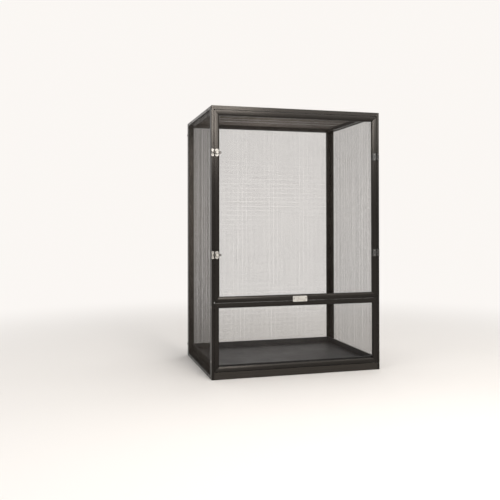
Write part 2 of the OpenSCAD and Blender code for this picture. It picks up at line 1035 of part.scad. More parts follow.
front_left_post();
front_right_post();
back_left_post();
back_right_post();
left_wall_bars();
left_wall_keys();
left_wall_screen();
left_wall_spline();
right_wall_bars();
right_wall_keys();
right_wall_screen();
right_wall_spline();
back_wall_bars();
back_wall_keys();
back_wall_screen();
back_wall_spline();
roof_bars();
roof_keys();
roof_screen();
roof_spline();
base_bars();
base_keys();
floor_screen();
floor_spline();
door_bars();
door_keys();
door_screen();
door_spline();
flap_bars();
flap_keys();
flap_screen();
flap_spline();
upper_hinge_post_leaf();
upper_hinge_door_leaf();
upper_hinge_pin();
lower_hinge_post_leaf();
lower_hinge_door_leaf();
lower_hinge_pin();
hinge_post_screws();
hinge_door_screws();
upper_latch_keeper();
upper_latch_plate();
upper_latch_stud();
upper_latch_lever();
lower_latch_keeper();
lower_latch_plate();
lower_latch_stud();
lower_latch_lever();
latch_keeper_screws();
latch_plate_screws();
lock_plate();
lock_thumb_turn();
lock_cam();
lock_nut();
lock_screws();
flap_pivot_pins();
flap_ball_catches();
substrate_tray();
panel_screws();
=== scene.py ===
"""Mesh reptile cage: rounded bars, fine screens, screws, finishes and stage on the packed frame."""

import json
import math

import bmesh
import bpy
from bpy.props import FloatProperty, FloatVectorProperty, IntProperty, PointerProperty
from mathutils import Matrix, Vector


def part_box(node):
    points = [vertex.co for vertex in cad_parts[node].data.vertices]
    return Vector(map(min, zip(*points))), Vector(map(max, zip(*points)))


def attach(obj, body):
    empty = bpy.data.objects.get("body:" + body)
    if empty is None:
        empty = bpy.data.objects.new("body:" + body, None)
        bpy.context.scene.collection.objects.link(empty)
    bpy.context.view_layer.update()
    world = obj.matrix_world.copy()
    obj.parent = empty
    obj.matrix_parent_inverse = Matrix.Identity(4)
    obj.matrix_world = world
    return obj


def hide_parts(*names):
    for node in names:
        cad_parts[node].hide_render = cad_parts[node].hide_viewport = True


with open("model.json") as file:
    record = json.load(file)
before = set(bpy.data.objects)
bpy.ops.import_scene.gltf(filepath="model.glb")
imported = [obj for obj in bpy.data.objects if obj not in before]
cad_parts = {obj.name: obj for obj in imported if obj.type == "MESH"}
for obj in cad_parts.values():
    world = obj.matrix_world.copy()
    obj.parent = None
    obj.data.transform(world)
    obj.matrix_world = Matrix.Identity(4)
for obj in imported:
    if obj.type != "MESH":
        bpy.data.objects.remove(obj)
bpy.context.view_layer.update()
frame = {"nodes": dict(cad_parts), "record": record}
RECORD = frame["record"]
BODY_OF = {node: body for body, nodes in RECORD["behaviour"]["bodies"].items() for node in nodes}

bl_info = {
    "name": "Mesh reptile cage",
    "version": (1, 0, 0),
    "blender": (4, 5, 0),
    "location": "3D View > Sidebar > Cage",
    "description": "Rounds the bars of a screen cage, weaves its screens and gives every piece its finish",
    "category": "Object",
}

POSTS = ("front_left_post", "front_right_post", "back_left_post", "back_right_post")
PANELS = ("left_wall", "right_wall", "back_wall", "roof", "base", "door", "flap")
HINGES = ("upper_hinge", "lower_hinge")
LATCHES = ("upper_latch", "lower_latch")
LOCK = ("lock_plate", "lock_thumb_turn", "lock_cam", "lock_nut")
FLAP_FITTINGS = ("flap_pivot_pins", "flap_ball_catches")

# For each screen: the direction that the grooved side of its bars faces, and which way its height runs
SCREENS = {
    "left_wall_screen": ((-1, 0, 0), (0, 0, 1)),
    "right_wall_screen": ((1, 0, 0), (0, 0, 1)),
    "back_wall_screen": ((0, 1, 0), (0, 0, 1)),
    "roof_screen": ((0, 0, 1), (0, 1, 0)),
    "floor_screen": ((0, 0, 1), (0, 1, 0)),
    "door_screen": ((0, 1, 0), (0, 0, 1)),
    "flap_screen": ((0, 1, 0), (0, 0, 1)),
}

# How many times the spacing drift the wires of an uneven screen get, across its width and its height
UNEVEN = {
    "left_wall_screen": (0.85, 0.0),
    "right_wall_screen": (0.3, 0.0),
    "roof_screen": (0.0, 1.6),
}
EVEN = (0.0, 0.0)

# The slow waves in the weave: how fine they are, and how far along them each screen is from the one before
WAVE_SCALE = 22.0
PHASE_STEP = 3.7

# The seeds of the wires' shades and of the angles of the screws
SHADE_SEED = 7
SPIN_SEED = 11

# Points closer than WELD are one, and faces that meet at less than FLAT are one face. Edges sharper than
# SHARP are rounded, unless they are shorter than SHORTEST times the radius.
WELD = 1e-6
FLAT = math.radians(0.6)
SHARP = math.radians(28)
SHORTEST = 3

# The two kinds of screw: length and rise are those of the whole screw and its head, shank and head are
# diameters, and slot, reach and depth are the width, half length and depth of the slots of its recess
PAN_SCREW = {
    "length": 0.0168, "shank": 0.0035, "head": 0.007, "rise": 0.0018,
    "slot": 0.0008, "reach": 0.0019, "depth": 0.0011,
}
SUNK_SCREW = {
    "length": 0.007, "shank": 0.0024, "head": 0.00428, "rise": 0.001,
    "slot": 0.0006, "reach": 0.0013, "depth": 0.0008,
}
SCREW_SIDES = 28
DOME_STEPS = 6
DOME_SHOULDER = 2 / 3
SUNK_RIM = 0.00005

# A screw's blunt tip, in radii of its shank: the width and rise of its end, and the length of the tip
TIP_WIDTH = 0.8
TIP_RISE = 0.2
TIP_LENGTH = 0.75

# How a recess tapers, in shares of its sizes: the reach of its slots at the foot, and their width at the top
# and at the foot. The shape that cuts it stands above the head by a share of its depth.
FOOT_REACH = 0.45
TOP_WIDTH = 1.15
FOOT_WIDTH = 0.8
CUTTER_ABOVE = 0.4

# The screws of the hardware, whose heads face the front
FRONT = (0, -1, 0)
FRONT_SCREWS = (
    "hinge_post_screws", "hinge_door_screws", "latch_keeper_screws", "latch_plate_screws", "lock_screws",
)

# The round floor, the curve that leads from it to the backdrop, and the height of the backdrop
FLOOR_RADIUS = 6.0
SWEEP_RADIUS = 6.0
SWEEP_STEPS = 24
BACKDROP_TOP = 24.0
STAGE_SIDES = 64

# For each lamp: its place, the point that it faces, its width and height, its watts and its tint
LAMPS = {
    "key_lamp": ((1.05, -2.75, 1.45), (0.0, 0.0, 0.7), (1.2, 0.8), 18.0, (1.0, 0.975, 0.945)),
    "sheen_lamp": ((0.15, -2.7, 1.36), (-0.28, -0.22, 0.85), (0.7, 0.6), 42.0, (1.0, 0.955, 0.91)),
    "left_lamp": ((-2.6, -1.6, 2.4), (0.0, 0.0, 0.45), (1.8, 1.8), 15.0, (1.0, 0.99, 0.975)),
    "top_lamp": ((0.5, 0.4, 3.2), (0.0, 0.0, 0.4), (2.0, 2.0), 30.0, (1.0, 0.99, 0.98)),
}

# The width of the camera's frame, in millimetres
SENSOR_WIDTH = 36.0


def length(name, description, default):
    """A setting in metres."""
    return FloatProperty(
        name=name, description=description, default=default, min=0.0, precision=5, unit="LENGTH"
    )


def share(name, description, default):
    """A setting from 0 to 1."""
    return FloatProperty(
        name=name, description=description, default=default, min=0.0, max=1.0, subtype="FACTOR"
    )


def colour(name, description, default):
    """A setting for a colour."""
    return FloatVectorProperty(
        name=name, description=description, default=default, size=3, min=0.0, max=1.0, subtype="COLOR"
    )


class CageFrameSettings(bpy.types.PropertyGroup):
    """Extruded bars and posts."""

    edge_round: length("Edge round", "Radius on the long edges of the bars and posts", 0.0005)
    colour: colour("Anodised colour", "Colour of the dark anodised skin", (0.0068, 0.0060, 0.0052))
    worn_colour: colour("Worn colour", "Colour of the metal where an edge is rubbed", (0.16, 0.152, 0.14))
    # The base's bars are drawn lighter: a painted reflection of the bright floor just in front of them
    base_painted_reflection: FloatProperty(
        name="Base tone", description="How much lighter the base's bars are", default=3.0, min=0.0
    )
    roughness: share("Roughness", "Roughness of the satin skin", 0.26)
    wear: share("Edge wear", "How much of the edges is rubbed", 0.35)


class CageScreenSettings(bpy.types.PropertyGroup):
    """Woven screens."""

    pitch: length("Wire pitch", "Distance between two wires of a screen", 0.003)
    wire: length("Wire width", "Width of one wire across the face of the screen", 0.00032)
    depth: length("Wire depth", "Thickness of one wire through the screen", 0.00045)
    drift: length("Spacing drift", "How far slow waves in the weave push the wires sideways", 0.008)
    sides: IntProperty(name="Wire sides", description="Faces round one wire", default=6, min=3, max=12)
    colour: colour("Wire colour", "Colour of the coated wire", (0.066, 0.053, 0.042))
    dust: colour("Dust colour", "Colour of the dust on the wire", (0.25, 0.225, 0.195))


class CageHardwareSettings(bpy.types.PropertyGroup):
    """Hinges, latches, lock and screws."""

    edge_round: length("Edge round", "Radius on the edges of plates and levers", 0.0003)
    silver: colour("Silver", "Colour of the nickel plating", (0.52, 0.505, 0.475))
    # The levers' own dark steel, made darker than the plates so that it also paints the shade that falls in
    # the waists of the latches
    steel: colour("Steel", "Colour of the latch levers", (0.09, 0.084, 0.076))
    black: colour("Black", "Colour of the coated hinges", (0.022, 0.021, 0.020))
    rubbed: colour("Rubbed", "Colour of the hinges where their coat is rubbed", (0.30, 0.29, 0.27))
    zinc: colour("Zinc", "Colour of the screws", (0.16, 0.155, 0.148))


class CageTraySettings(bpy.types.PropertyGroup):
    """Substrate tray, keys and cord."""

    edge_round: length("Edge round", "Radius on the edges of the formed tray", 0.0006)
    plastic: colour("Tray colour", "Colour of the formed plastic", (0.020, 0.020, 0.021))
    scratch: colour("Scratch colour", "Colour of the fine scratches in the tray", (0.10, 0.10, 0.10))
    rubber: colour("Cord colour", "Colour of the cord that holds the screens", (0.014, 0.0138, 0.0135))


class CageStageSettings(bpy.types.PropertyGroup):
    """Floor, lights and camera."""

    floor: colour("Floor colour", "Colour of the pale floor", (0.84, 0.815, 0.79))
    backdrop: colour("Backdrop colour", "Colour seen behind the cage", (0.97, 0.938, 0.908))
    fade_start: length("Fade start", "Where the floor starts to fade into the backdrop", 0.6)
    fade_end: length("Fade end", "Where the floor has faded", 2.3)
    fade: share("Fade", "How much of the floor fades", 0.985)
    fill: colour("Fill colour", "Colour of the even light from all sides", (1.0, 0.985, 0.965))
    fill_strength: FloatProperty(
        name="Fill strength", description="Strength of the even light", default=0.55, min=0.0
    )
    place: FloatVectorProperty(
        name="Camera place", description="Where the camera stands", size=3, unit="LENGTH",
        default=(-0.765494, -2.426855, 0.515286),
    )
    right: FloatVectorProperty(
        name="Camera right", description="Direction of the picture's right side", size=3,
        subtype="DIRECTION", default=(0.960226, -0.279219, -0.0015797),
    )
    up: FloatVectorProperty(
        name="Camera up", description="Direction of the picture's top side", size=3,
        subtype="DIRECTION", default=(-0.0008165, -0.0084653, 0.9999638),
    )
    lens: FloatProperty(
        name="Lens", description="Focal length on a 36 mm frame", default=49.435, min=1.0,
        subtype="DISTANCE_CAMERA",
    )
    shift_x: FloatProperty(name="Shift X", description="Sideways shift of the frame", default=-0.02577)
    shift_y: FloatProperty(name="Shift Y", description="Upward shift of the frame", default=-0.0665)


SETTINGS = {
    "cage_frame": CageFrameSettings,
    "cage_screen": CageScreenSettings,
    "cage_hardware": CageHardwareSettings,
    "cage_tray": CageTraySettings,
    "cage_stage": CageStageSettings,
}


class Nodes:
    """The nodes of a tree under construction."""

    def __init__(self, tree):
        self.nodes = tree.nodes
        self.links = tree.links

    def feed(self, socket, value):
        """Links an input to the socket that feeds it, or sets it. A colour may be three numbers."""
        if isinstance(value, bpy.types.NodeSocket):
            self.links.new(value, socket)
        elif socket.type == "RGBA":
            socket.default_value = (*value[:3], 1.0)
        else:
            socket.default_value = value

    def node(self, kind, inputs=None, **settings):
        """A new node. Inputs go by name or number, and are values or the sockets that feed them."""
        made = self.nodes.new(kind)
        for key, value in settings.items():
            setattr(made, key, value)
        for key, value in (inputs or {}).items():
            self.feed(made.inputs[key], value)
        return made

    def first(self, kind, inputs=None, **settings):
        """The first output of a new node."""
        return self.node(kind, inputs, **settings).outputs[0]

    def maths(self, operation, a, b=0.0):
        """The result of an operation on one or two numbers."""
        return self.first("ShaderNodeMath", {0: a, 1: b}, operation=operation)


class Finish(Nodes):
    """A procedural material under construction."""

    def __init__(self, name):
        self.material = bpy.data.materials.new(name)
        self.material.use_nodes = True
        super().__init__(self.material.node_tree)
        self.shader = self.nodes["Principled BSDF"]

    def set(self, **values):
        """Constants and sockets for the main shader, with spaces written as underscores."""
        for key, value in values.items():
            self.feed(self.shader.inputs[key.replace("_", " ")], value)

    def coordinates(self):
        """Places on the piece, in metres."""
        return self.node("ShaderNodeTexCoord").outputs["Object"]

    def attribute(self, name, output="Vector"):
        """What the mesh stores under a name."""
        return self.node("ShaderNodeAttribute", attribute_name=name).outputs[output]

    def stretched(self, vector, scale):
        """Places scaled by a factor for each axis."""
        return self.first("ShaderNodeMapping", {"Vector": vector, "Scale": scale})

    def noise(self, vector, scale, detail, roughness):
        """Soft noise from 0 to 1."""
        inputs = {"Vector": vector, "Scale": scale, "Detail": detail, "Roughness": roughness}
        return self.first("ShaderNodeTexNoise", inputs)

    def cells(self, vector, scale):
        """Distance to the middle of the nearest of many cells."""
        return self.first("ShaderNodeTexVoronoi", {"Vector": vector, "Scale": scale})

    def spread(self, value, low, high, start=0.0, end=1.0):
        """Maps low..high of a value to start..end."""
        inputs = {"Value": value, "From Min": low, "From Max": high, "To Min": start, "To Max": end}
        return self.first("ShaderNodeMapRange", inputs)

    def along(self, name):
        """A direction stored on the mesh, as a tangent in the world."""
        return self.first(
            "ShaderNodeVectorTransform", {"Vector": self.attribute(name)},
            vector_type="VECTOR", convert_from="OBJECT", convert_to="WORLD",
        )

    def blend(self, share_of_b, a, b):
        """Mixes two colours, given as three numbers or as sockets."""
        # A Mix node has sockets of the same name for each kind of data, so those for colours go by number
        return self.node("ShaderNodeMix", {0: share_of_b, 6: a, 7: b}, data_type="RGBA").outputs[2]

    def bump(self, height, strength, distance, normal=None):
        """A normal tilted by the slope of a height, on top of another one if it is given."""
        inputs = {"Height": height, "Strength": strength, "Distance": distance}
        if normal is not None:
            inputs["Normal"] = normal
        return self.first("ShaderNodeBump", inputs)


def shade(tint, factor):
    """A colour made lighter or darker."""
    return tuple(min(1.0, channel * factor) for channel in tint)


def anodised_frame(settings):
    """Dark anodised extrusion: fine die lines along each bar, soft mottling and rubbed edges."""
    finish = Finish("anodised_frame")
    place = finish.coordinates()
    length_wise = finish.stretched(finish.attribute("grain"), (5.0, 1500.0, 1500.0))
    lines = finish.noise(length_wise, scale=1.0, detail=3.0, roughness=0.6)
    mottle = finish.noise(place, scale=14.0, detail=4.0, roughness=0.6)
    rub = finish.noise(place, scale=160.0, detail=4.0, roughness=0.65)
    edge = finish.attribute("edge", "Fac")
    worn = finish.maths("MULTIPLY", edge, finish.spread(rub, 0.62 - 0.3 * settings.wear, 0.75, 0.0, 0.8))
    skin = finish.blend(mottle, shade(settings.colour, 0.82), shade(settings.colour, 1.2))
    skin = finish.blend(finish.spread(lines, 0.35, 0.75, 0.0, 0.35), skin, shade(settings.colour, 1.7))
    # Each piece's colour is scaled by its painted reflection, which lightens the base's bars as if they
    # reflected the bright floor
    inputs = {0: skin, "Scale": finish.attribute("tone", "Fac")}
    skin = finish.first("ShaderNodeVectorMath", inputs, operation="SCALE")
    finish.set(
        Base_Color=finish.blend(worn, skin, settings.worn_colour),
        Metallic=finish.spread(worn, 0.0, 1.0, 0.0, 0.9),
        Roughness=finish.spread(lines, 0.25, 0.8, settings.roughness - 0.07, settings.roughness + 0.10),
        Specular_IOR_Level=0.2,
        Specular_Tint=(1.0, 0.93, 0.86),
        Anisotropic=0.75,
        Anisotropic_Rotation=0.25,
        Tangent=finish.along("run"),
        Normal=finish.bump(lines, strength=0.10, distance=0.00006),
    )
    return finish.material


def woven_wire(settings):
    """Coated wire: a shade of its own for each wire, its crimps with painted shade in their dips where the
    wires cross, and dust.
    """
    finish = Finish("woven_wire")
    place = finish.coordinates()
    run = finish.attribute("wire_run", "Fac")
    own = finish.attribute("wire_shade", "Fac")
    crimp = finish.maths("SINE", finish.maths("MULTIPLY", run, math.pi / settings.pitch))
    dust = finish.noise(place, scale=26.0, detail=4.0, roughness=0.6)
    tint = finish.blend(own, shade(settings.colour, 0.8), shade(settings.colour, 1.2))
    # Painted shade: the wire's colour darkens in the dips of its crimps, where the wires cross
    tint = finish.blend(finish.spread(crimp, -1.0, 1.0, 0.0, 0.3), tint, shade(settings.colour, 0.45))
    tint = finish.blend(finish.spread(dust, 0.5, 0.8, 0.0, 0.35), tint, settings.dust)
    finish.set(
        Base_Color=tint,
        Metallic=0.45,
        Roughness=finish.spread(dust, 0.3, 0.8, 0.38, 0.58),
        Normal=finish.bump(crimp, strength=0.35, distance=0.0001),
    )
    return finish.material


def plated_metal(name, tint_of):
    """Plated metal: brushed along each piece, with faint smears and a painted highlight on its edges."""
    finish = Finish(name)
    place = finish.coordinates()
    length_wise = finish.stretched(finish.attribute("grain"), (90.0, 4200.0, 4200.0))
    brush = finish.noise(length_wise, scale=1.0, detail=3.0, roughness=0.6)
    smear = finish.noise(place, scale=120.0, detail=4.0, roughness=0.6)
    edge = finish.attribute("edge", "Fac")
    tint = finish.blend(finish.spread(smear, 0.4, 0.75), tint_of, shade(tint_of, 0.72))
    # A painted highlight: the edges are drawn lighter than the rest of the plate
    tint = finish.blend(finish.maths("MULTIPLY", edge, 0.6), tint, shade(tint_of, 1.5))
    rough = finish.spread(brush, 0.3, 0.75, 0.54, 0.66)
    rough = finish.maths("ADD", rough, finish.spread(smear, 0.45, 0.8, 0.0, 0.12))
    finish.set(
        Base_Color=tint,
        Metallic=0.8,
        Roughness=rough,
        Normal=finish.bump(brush, strength=0.12, distance=0.00004),
    )
    return finish.material


def coated_hinge(settings):
    """Black coated steel: the fine orange peel of a baked coat, rubbed on the edges."""
    finish = Finish("coated_hinge")
    place = finish.coordinates()
    peel = finish.noise(place, scale=1500.0, detail=2.0, roughness=0.5)
    rub = finish.noise(place, scale=420.0, detail=3.0, roughness=0.6)
    cloud = finish.noise(place, scale=60.0, detail=3.0, roughness=0.6)
    edge = finish.attribute("edge", "Fac")
    worn = finish.maths("MULTIPLY", edge, finish.spread(rub, 0.5, 0.7, 0.0, 0.85))
    skin = finish.blend(cloud, shade(settings.black, 0.8), shade(settings.black, 1.5))
    finish.set(
        Base_Color=finish.blend(worn, skin, settings.rubbed),
        Metallic=finish.spread(worn, 0.0, 1.0, 0.0, 0.9),
        Roughness=finish.spread(cloud, 0.3, 0.8, 0.34, 0.5),
        Normal=finish.bump(peel, strength=0.25, distance=0.00005),
    )
    return finish.material


def plated_screw(settings):
    """Zinc-plated screws, dull in patches."""
    finish = Finish("plated_screw")
    place = finish.coordinates()
    patch = finish.noise(place, scale=700.0, detail=3.0, roughness=0.6)
    stretched = finish.stretched(place, (3000.0, 900.0, 3000.0))
    scuff = finish.noise(stretched, scale=1.0, detail=2.0, roughness=0.5)
    finish.set(
        Base_Color=finish.blend(patch, shade(settings.zinc, 0.55), shade(settings.zinc, 1.4)),
        Metallic=0.9,
        Roughness=finish.spread(scuff, 0.3, 0.75, 0.26, 0.46),
        Normal=finish.bump(scuff, strength=0.15, distance=0.00003),
    )
    return finish.material


def formed_plastic(settings):
    """Black formed plastic: a pebbled grain and fine scratches from front to back."""
    finish = Finish("formed_plastic")
    place = finish.coordinates()
    pebble = finish.cells(place, scale=900.0)
    cloud = finish.noise(place, scale=11.0, detail=4.0, roughness=0.6)
    stretched = finish.stretched(place, (900.0, 16.0, 900.0))
    scratch = finish.noise(stretched, scale=1.0, detail=2.0, roughness=0.5)
    marks = finish.spread(scratch, 0.66, 0.78)
    tint = finish.blend(cloud, shade(settings.plastic, 0.8), shade(settings.plastic, 1.5))
    tint = finish.blend(finish.maths("MULTIPLY", marks, 0.3), tint, settings.scratch)
    rough = finish.spread(cloud, 0.3, 0.75, 0.46, 0.62)
    rough = finish.maths("SUBTRACT", rough, finish.maths("MULTIPLY", marks, 0.1))
    grain = finish.bump(pebble, strength=0.3, distance=0.0002)
    finish.set(
        Base_Color=tint,
        Roughness=rough,
        Normal=finish.bump(marks, strength=0.1, distance=0.00005, normal=grain),
    )
    return finish.material


def ribbed_rubber(settings):
    """The cord in the grooves: matt, with fine ridges and a pale bloom."""
    finish = Finish("ribbed_rubber")
    place = finish.coordinates()
    ribs = finish.noise(place, scale=1300.0, detail=1.0, roughness=0.4)
    bloom = finish.noise(place, scale=40.0, detail=4.0, roughness=0.6)
    pale = shade(settings.rubber, 2.6)
    finish.set(
        Base_Color=finish.blend(finish.spread(bloom, 0.4, 0.8), settings.rubber, pale),
        Roughness=finish.spread(bloom, 0.3, 0.8, 0.62, 0.82),
        Normal=finish.bump(ribs, strength=0.4, distance=0.0003),
    )
    return finish.material


def moulded_nylon(settings):
    """Corner keys: dull moulded nylon with flow lines."""
    finish = Finish("moulded_nylon")
    place = finish.coordinates()
    flow = finish.noise(place, scale=90.0, detail=5.0, roughness=0.65)
    finish.set(
        Base_Color=finish.blend(flow, shade(settings.plastic, 0.8), shade(settings.plastic, 1.9)),
        Roughness=finish.spread(flow, 0.3, 0.8, 0.5, 0.7),
        Normal=finish.bump(flow, strength=0.15, distance=0.0002),
    )
    return finish.material


def loose_solids(mesh_bm):
    """The separate solids of a merged mesh, each as a list of vertices."""
    unseen = set(mesh_bm.verts)
    solids = []
    while unseen:
        found = [unseen.pop()]
        for vert in found:
            for edge in vert.link_edges:
                other = edge.other_vert(vert)
                if other in unseen:
                    unseen.remove(other)
                    found.append(other)
        solids.append(found)
    return solids


def corners(points):
    """Lowest and highest corner of some points."""
    points = list(points)
    return Vector(map(min, zip(*points))), Vector(map(max, zip(*points)))


def merged_copy(node):
    """A CAD node's mesh with its loose triangles joined and its flat faces made whole."""
    mesh_bm = bmesh.new()
    mesh_bm.from_mesh(frame["nodes"][node].data)
    bmesh.ops.remove_doubles(mesh_bm, verts=mesh_bm.verts, dist=WELD)
    bmesh.ops.dissolve_limit(
        mesh_bm, angle_limit=FLAT, use_dissolve_boundaries=False, verts=mesh_bm.verts, edges=mesh_bm.edges
    )
    return mesh_bm


def finished_mesh(mesh_bm, name):
    """A new mesh with what was built in mesh_bm, which is then freed."""
    mesh = bpy.data.meshes.new(name)
    mesh_bm.to_mesh(mesh)
    mesh_bm.free()
    return mesh


def solid_boxes(node):
    """The box of each separate solid of a node, in the order of their lowest corners."""
    mesh_bm = merged_copy(node)
    boxes = [corners(vert.co for vert in solid) for solid in loose_solids(mesh_bm)]
    mesh_bm.free()
    return sorted(boxes, key=lambda box: tuple(box[0]))


def rounded_mesh(node, radius, reflection_lightness):
    """A copy of a node with its edges rounded and marked, and the run of each bar and the lightness of its
    painted reflection stored on it.
    """
    mesh_bm = merged_copy(node)
    edge_mark = mesh_bm.faces.layers.float.new("edge")
    grain = mesh_bm.verts.layers.float_vector.new("grain")
    run = mesh_bm.verts.layers.float_vector.new("run")
    tone = mesh_bm.verts.layers.float.new("tone")
    sharp = [
        edge for edge in mesh_bm.edges
        if edge.is_manifold and edge.calc_face_angle() > SHARP and edge.calc_length() > SHORTEST * radius
    ]
    rounded = bmesh.ops.bevel(
        mesh_bm, geom=sharp, offset=radius, offset_type="OFFSET", segments=2, profile=0.5, affect="EDGES",
        clamp_overlap=True, material=-1,
    )
    for face in rounded["faces"]:
        face[edge_mark] = 1.0
    bmesh.ops.remove_doubles(mesh_bm, verts=mesh_bm.verts, dist=WELD)
    for solid in loose_solids(mesh_bm):
        low, high = corners(vert.co for vert in solid)
        axes = sorted(range(3), key=lambda axis: low[axis] - high[axis])
        for vert in solid:
            vert[grain] = Vector([vert.co[axis] for axis in axes])
            vert[run] = Vector([float(axis == axes[0]) for axis in range(3)])
            vert[tone] = reflection_lightness
    for face in mesh_bm.faces:
        face.smooth = True
    return finished_mesh(mesh_bm, node + "_rounded")


def plain_mesh(obj):
    """The evaluated mesh of an object, which is then removed."""
    graph = bpy.context.evaluated_depsgraph_get()
    evaluated = obj.evaluated_get(graph)
    mesh = bpy.data.meshes.new_from_object(evaluated, preserve_all_data_layers=True, depsgraph=graph)
    old = obj.data
    bpy.data.objects.remove(obj)
    bpy.data.meshes.remove(old)
    return mesh


def linked(name, data):
    """A new object in the scene."""
    obj = bpy.data.objects.new(name, data)
    bpy.context.scene.collection.objects.link(obj)
    return obj


def piece(name, mesh, material, *nodes):
    """A finished piece that stands for some CAD nodes of one body."""
    mesh.name = name
    mesh.materials.clear()
    mesh.materials.append(material)
    obj = linked(name, mesh)
    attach(obj, BODY_OF[nodes[0]])
    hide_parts(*nodes)


def round_node(node, radius, material, reflection_lightness=1.0):
    """Replaces a CAD node with a rounded copy of it."""
    obj = linked(node + "_work", rounded_mesh(node, radius, reflection_lightness))
    normals = obj.modifiers.new("Face normals", "WEIGHTED_NORMAL")
    normals.mode = "FACE_AREA"
    normals.weight = 100
    normals.keep_sharp = True
    piece(node + "_finish", plain_mesh(obj), material, node)


def paint(node, material):
    """Gives a CAD node that keeps its shape a better material."""
    for place in frame["nodes"][node].material_slots:
        place.material = material


def geometry_tree(name, inputs):
    """A new Geometry Nodes tree with named inputs and one geometry output."""
    tree = bpy.data.node_groups.new(name, "GeometryNodeTree")
    for label, kind in inputs.items():
        tree.interface.new_socket(label, in_out="INPUT", socket_type=kind)
    tree.interface.new_socket("Geometry", in_out="OUTPUT", socket_type="NodeSocketGeometry")
    return tree


def grown(tree, mesh, values):
    """Runs a tree on a mesh, with its inputs given by name, and returns the plain result."""
    obj = linked(tree.name + "_work", mesh)
    modifier = obj.modifiers.new(tree.name, "NODES")
    modifier.node_group = tree
    for item in tree.interface.items_tree:
        if item.in_out == "INPUT" and item.name in values:
            modifier[item.identifier] = values[item.name]
    return plain_mesh(obj)


def single_wire(nodes, sockets, along, section, turn):
    """One straight wire, with the distance along it stored on it. Its section is set before its turn."""
    inputs = {"Vertices": sockets["Sides"], "Radius": 0.5, "Depth": sockets[along]}
    wire = nodes.first("GeometryNodeMeshCylinder", inputs, fill_type="NGON")
    place = nodes.first("GeometryNodeInputPosition")
    run = nodes.node("ShaderNodeSeparateXYZ", {0: place}).outputs["Z"]
    inputs = {"Geometry": wire, "Name": "wire_run", "Value": run}
    wire = nodes.first("GeometryNodeStoreNamedAttribute", inputs, data_type="FLOAT", domain="POINT")
    inputs = {"X": sockets[section[0]], "Y": sockets[section[1]], "Z": 1.0}
    scale = nodes.first("ShaderNodeCombineXYZ", inputs)
    return nodes.first("GeometryNodeTransform", {"Geometry": wire, "Rotation": turn, "Scale": scale})


def wire_places(nodes, sockets, across, axis, side):
    """Points for one layer of wires, about a pitch apart on an axis, pushed along it by the slow waves."""
    gaps = nodes.maths("FLOOR", nodes.maths("DIVIDE", sockets[across], sockets["Pitch"]))
    inner = nodes.maths("SUBTRACT", sockets[across], sockets["Wire Width"])
    step = nodes.maths("DIVIDE", inner, gaps)
    start = nodes.maths("MULTIPLY", inner, -0.5)
    level = nodes.maths("MULTIPLY", sockets["Wire Depth"], side)
    inputs = {
        "Count": nodes.maths("ADD", gaps, 1.0),
        "Start Location": nodes.first("ShaderNodeCombineXYZ", {axis: start, "Z": level}),
        "Offset": nodes.first("ShaderNodeCombineXYZ", {axis: step}),
    }
    row = nodes.first("GeometryNodeMeshLine", inputs, mode="OFFSET", count_mode="TOTAL")
    reach = nodes.maths("MULTIPLY", nodes.first("GeometryNodeInputIndex"), step)
    phase = nodes.maths("ADD", reach, sockets["Phase"])
    inputs = {"W": phase, "Scale": WAVE_SCALE, "Detail": 2.0, "Roughness": 0.5}
    wave = nodes.first("ShaderNodeTexNoise", inputs, noise_dimensions="1D")
    push = nodes.maths("MULTIPLY", nodes.maths("SUBTRACT", wave, 0.5), sockets[across + " Drift"])
    offset = nodes.first("ShaderNodeCombineXYZ", {axis: push})
    return nodes.first("GeometryNodeSetPosition", {"Geometry": row, "Offset": offset})


def wire_layer(nodes, places, wire):
    """A wire at each place, with a shade of its own."""
    wires = nodes.first("GeometryNodeInstanceOnPoints", {"Points": places, "Instance": wire})
    own = nodes.node("FunctionNodeRandomValue", {"Seed": SHADE_SEED}, data_type="FLOAT").outputs[1]
    inputs = {"Geometry": wires, "Name": "wire_shade", "Value": own}
    return nodes.first("GeometryNodeStoreNamedAttribute", inputs, data_type="FLOAT", domain="INSTANCE")


def screen_tree():
    """Straight wires side by side both ways, one layer on the other, centred in the XY plane."""
    tree = geometry_tree("woven_screen", {
        "Width": "NodeSocketFloat",
        "Height": "NodeSocketFloat",
        "Pitch": "NodeSocketFloat",
        "Wire Width": "NodeSocketFloat",
        "Wire Depth": "NodeSocketFloat",
        "Width Drift": "NodeSocketFloat",
        "Height Drift": "NodeSocketFloat",
        "Phase": "NodeSocketFloat",
        "Sides": "NodeSocketInt",
        "Material": "NodeSocketMaterial",
    })
    nodes = Nodes(tree)
    sockets = nodes.node("NodeGroupInput").outputs
    quarter = math.pi / 2
    upright = single_wire(nodes, sockets, "Height", ("Wire Width", "Wire Depth"), (quarter, 0, 0))
    level = single_wire(nodes, sockets, "Width", ("Wire Depth", "Wire Width"), (0, quarter, 0))
    both = nodes.node("GeometryNodeJoinGeometry")
    for wire, across, axis, side in ((upright, "Width", "X", 0.5), (level, "Height", "Y", -0.5)):
        layer = wire_layer(nodes, wire_places(nodes, sockets, across, axis, side), wire)
        nodes.feed(both.inputs[0], layer)
    whole = nodes.first("GeometryNodeRealizeInstances", {"Geometry": both.outputs[0]})
    smooth = nodes.first("GeometryNodeSetShadeSmooth", {"Geometry": whole})
    inputs = {"Geometry": smooth, "Material": sockets["Material"]}
    painted = nodes.first("GeometryNodeSetMaterial", inputs)
    nodes.node("NodeGroupOutput", {"Geometry": painted})
    return tree


